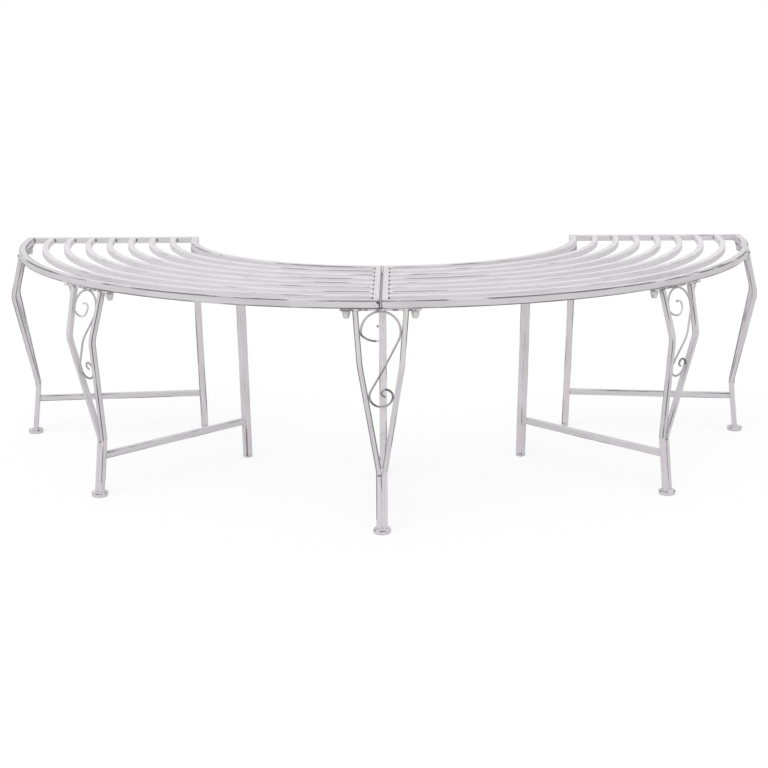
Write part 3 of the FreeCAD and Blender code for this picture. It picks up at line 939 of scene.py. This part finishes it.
# Bolting: M8 studs welded in the outer rim, each with a washer and a domed cap nut below
# the plate, and two pan-head screws under each inner plate.
stud_side = 0.061
stud_radius = math.sqrt(outer_line ** 2 - stud_side ** 2)
washer_radius, washer_thickness = 0.008, 0.0016
nut_flats = 0.013
nut_chamfer = 0.0005
hex_height = 0.0065
dome_radius, dome_height = 0.00625, 0.0075
dome_round, dome_top_round = 0.0045, 0.0001
dome_overlap = 0.0002
screw_side = 0.0145
screw_radius = math.sqrt(inner_line ** 2 - screw_side ** 2)
head_radius, head_height, head_round = 0.0045, 0.003, 0.0018
sheared_edge = 0.0003


def zinc_finish():
    """Dull zinc plating: a cloudy grey, rougher where it has gone white."""
    material, net, shader = new_material("zinc")
    place = added(net, "ShaderNodeTexCoord", {}).outputs["Object"]
    cloud = added(net, "ShaderNodeTexNoise", {"Vector": place, "Scale": 260,
                                              "Detail": 3}).outputs["Fac"]
    rough = added(net, "ShaderNodeMapRange", {"Value": cloud, "To Min": 0.40, "To Max": 0.60})
    tone = mixed(net, cloud, (0.20, 0.20, 0.205, 1), (0.42, 0.42, 0.43, 1))
    feed(net, shader, {"Base Color": tone, "Roughness": rough.outputs["Result"],
                       "Metallic": 0.7})
    return material


def at_both_studs(shape, side, radius, top):
    """Two of a small part that hangs down from the origin, at the sides of every frame."""
    return at_every_frame(repeated(shape, [Matrix.Translation((sign * side, -radius, top))
                                           for sign in (-1, 1)]))


nut_white = (0.76, 0.74, 0.745)
nut_shade = (0.66, 0.64, 0.65)
bare_nut = (0.30, 0.29, 0.29)
nut_enamel = painted_metal("nut_enamel", None, wear=0.9, paint=nut_white, shade=nut_shade,
                           stain=nut_shade, bare=bare_nut)
zinc = zinc_finish()
nut = bmesh.new()
nut.verts.layers.float.new("rub")
bmesh.ops.create_cone(nut, cap_ends=True, segments=6, radius1=nut_flats / math.sqrt(3),
                      radius2=nut_flats / math.sqrt(3), depth=hex_height,
                      matrix=(Matrix.Translation((0, 0, -hex_height / 2))
                              @ Matrix.Rotation(math.pi / 6, 4, "Z")))
rounded_off(nut, nut.edges[:], nut_chamfer, segments=2)
add_shape(nut, turned_disc(dome_radius, -hex_height - dome_height, dome_overlap - hex_height,
                           dome_round, dome_top_round, sides=32))
nuts = at_both_studs(nut, stud_side, stud_radius, plate_underside - washer_thickness)
rub = nuts.verts.layers.float["rub"]
# The nut at the right middle frame's left stud is given full rub, so more of it shows grey.
greyed_nut = (at_frame("right_middle") @ Vector((-stud_side, -stud_radius, 0))).xy
for point in nuts.verts:
    if (point.co.xy - greyed_nut).length < 2 * nut_flats:
        point[rub] = 1.0
in_place_of("cap_nuts", nuts, nut_enamel)
washer = turned_disc(washer_radius, -washer_thickness, 0, sheared_edge, sheared_edge, sides=40)
washers = at_both_studs(washer, stud_side, stud_radius, plate_underside)
in_place_of("washers", washers, zinc)
screw = turned_disc(head_radius, -head_height, 0, head_round, sheared_edge, sides=28)
screws = at_both_studs(screw, screw_side, screw_radius, plate_underside)
in_place_of("inner_screws", screws, zinc)
stud_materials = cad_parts["studs"].data.materials
stud_materials.clear()
stud_materials.append(zinc)

# Camera: at the height of a person's waist, about 3 m in front of the bench and almost
# square to it, as the photograph was taken. Its three turns are in degrees.
camera = bpy.data.cameras.new("camera")
camera.lens = 72.79
camera.sensor_width = 36
viewer = new_object("camera", camera)
viewer_place = Vector((0.02751, -3.06322, 0.92670))
turn_left, tilt_down, roll_left = 0.480, 13.591, -0.349
viewer.matrix_world = (Matrix.Translation(viewer_place)
                       @ Matrix.Rotation(math.radians(turn_left), 4, "Z")
                       @ Matrix.Rotation(math.radians(90 - tilt_down), 4, "X")
                       @ Matrix.Rotation(math.radians(roll_left), 4, "Z"))
bpy.context.scene.camera = viewer
bpy.context.scene.view_settings.view_transform = "Standard"

# Daylight: an even pale sky, and one very soft lamp from above on the left. The sky shows
# white to the camera and in the gloss of the paint.
white = (1, 1, 1, 1)
world = bpy.data.worlds.new("daylight")
bpy.context.scene.world = world
world.use_nodes = True
air = world.node_tree


def seen_share(net, *kinds):
    """1 on the rays of these kinds, 0 on the rest."""
    paths = added(net, "ShaderNodeLightPath", {})
    share = paths.outputs[kinds[0]]
    for kind in kinds[1:]:
        share = added(net, "ShaderNodeMath", {0: share, 1: paths.outputs[kind]},
                      operation="MAXIMUM").outputs[0]
    return share


sky = air.nodes["Background"]
feed(air, sky, {"Color": white, "Strength": 0.72})
backdrop = added(air, "ShaderNodeBackground", {"Color": white, "Strength": 1.0})
seen_white = seen_share(air, "Is Camera Ray", "Is Glossy Ray", "Is Transmission Ray")
choice = added(air, "ShaderNodeMixShader", {"Fac": seen_white, 1: sky.outputs[0],
                                            2: backdrop.outputs[0]})
feed(air, air.nodes["World Output"], {"Surface": choice.outputs[0]})
lamp = bpy.data.lights.new("soft_light", "SUN")
lamp.energy = 0.9
lamp.angle = math.radians(50)
new_object("soft_light", lamp).rotation_euler = (math.radians(28), 0, math.radians(-20))

# Floor: pale and plain. To the camera it is mostly white by itself, so that the bench's
# shadow is faint, as in the photograph.
ground = bmesh.new()
bmesh.ops.create_grid(ground, x_segments=1, y_segments=1, size=15)
floor = new_object("floor", mesh_of("floor", ground))
pale, net, surface = new_material("pale_floor")
feed(net, surface, {"Base Color": (0.85, 0.85, 0.85, 1), "Roughness": 1.0,
                    "Specular IOR Level": 0.0})
glow = added(net, "ShaderNodeEmission", {"Strength": 1.1})
glow_share = added(net, "ShaderNodeMath", {0: seen_share(net, "Is Camera Ray"), 1: 0.65},
                   operation="MULTIPLY")
floor_mix = added(net, "ShaderNodeMixShader", {"Fac": glow_share.outputs[0],
                                               1: surface.outputs[0], 2: glow.outputs[0]})
feed(net, net.nodes["Material Output"], {"Surface": floor_mix.outputs[0]})
floor.data.materials.append(pale)
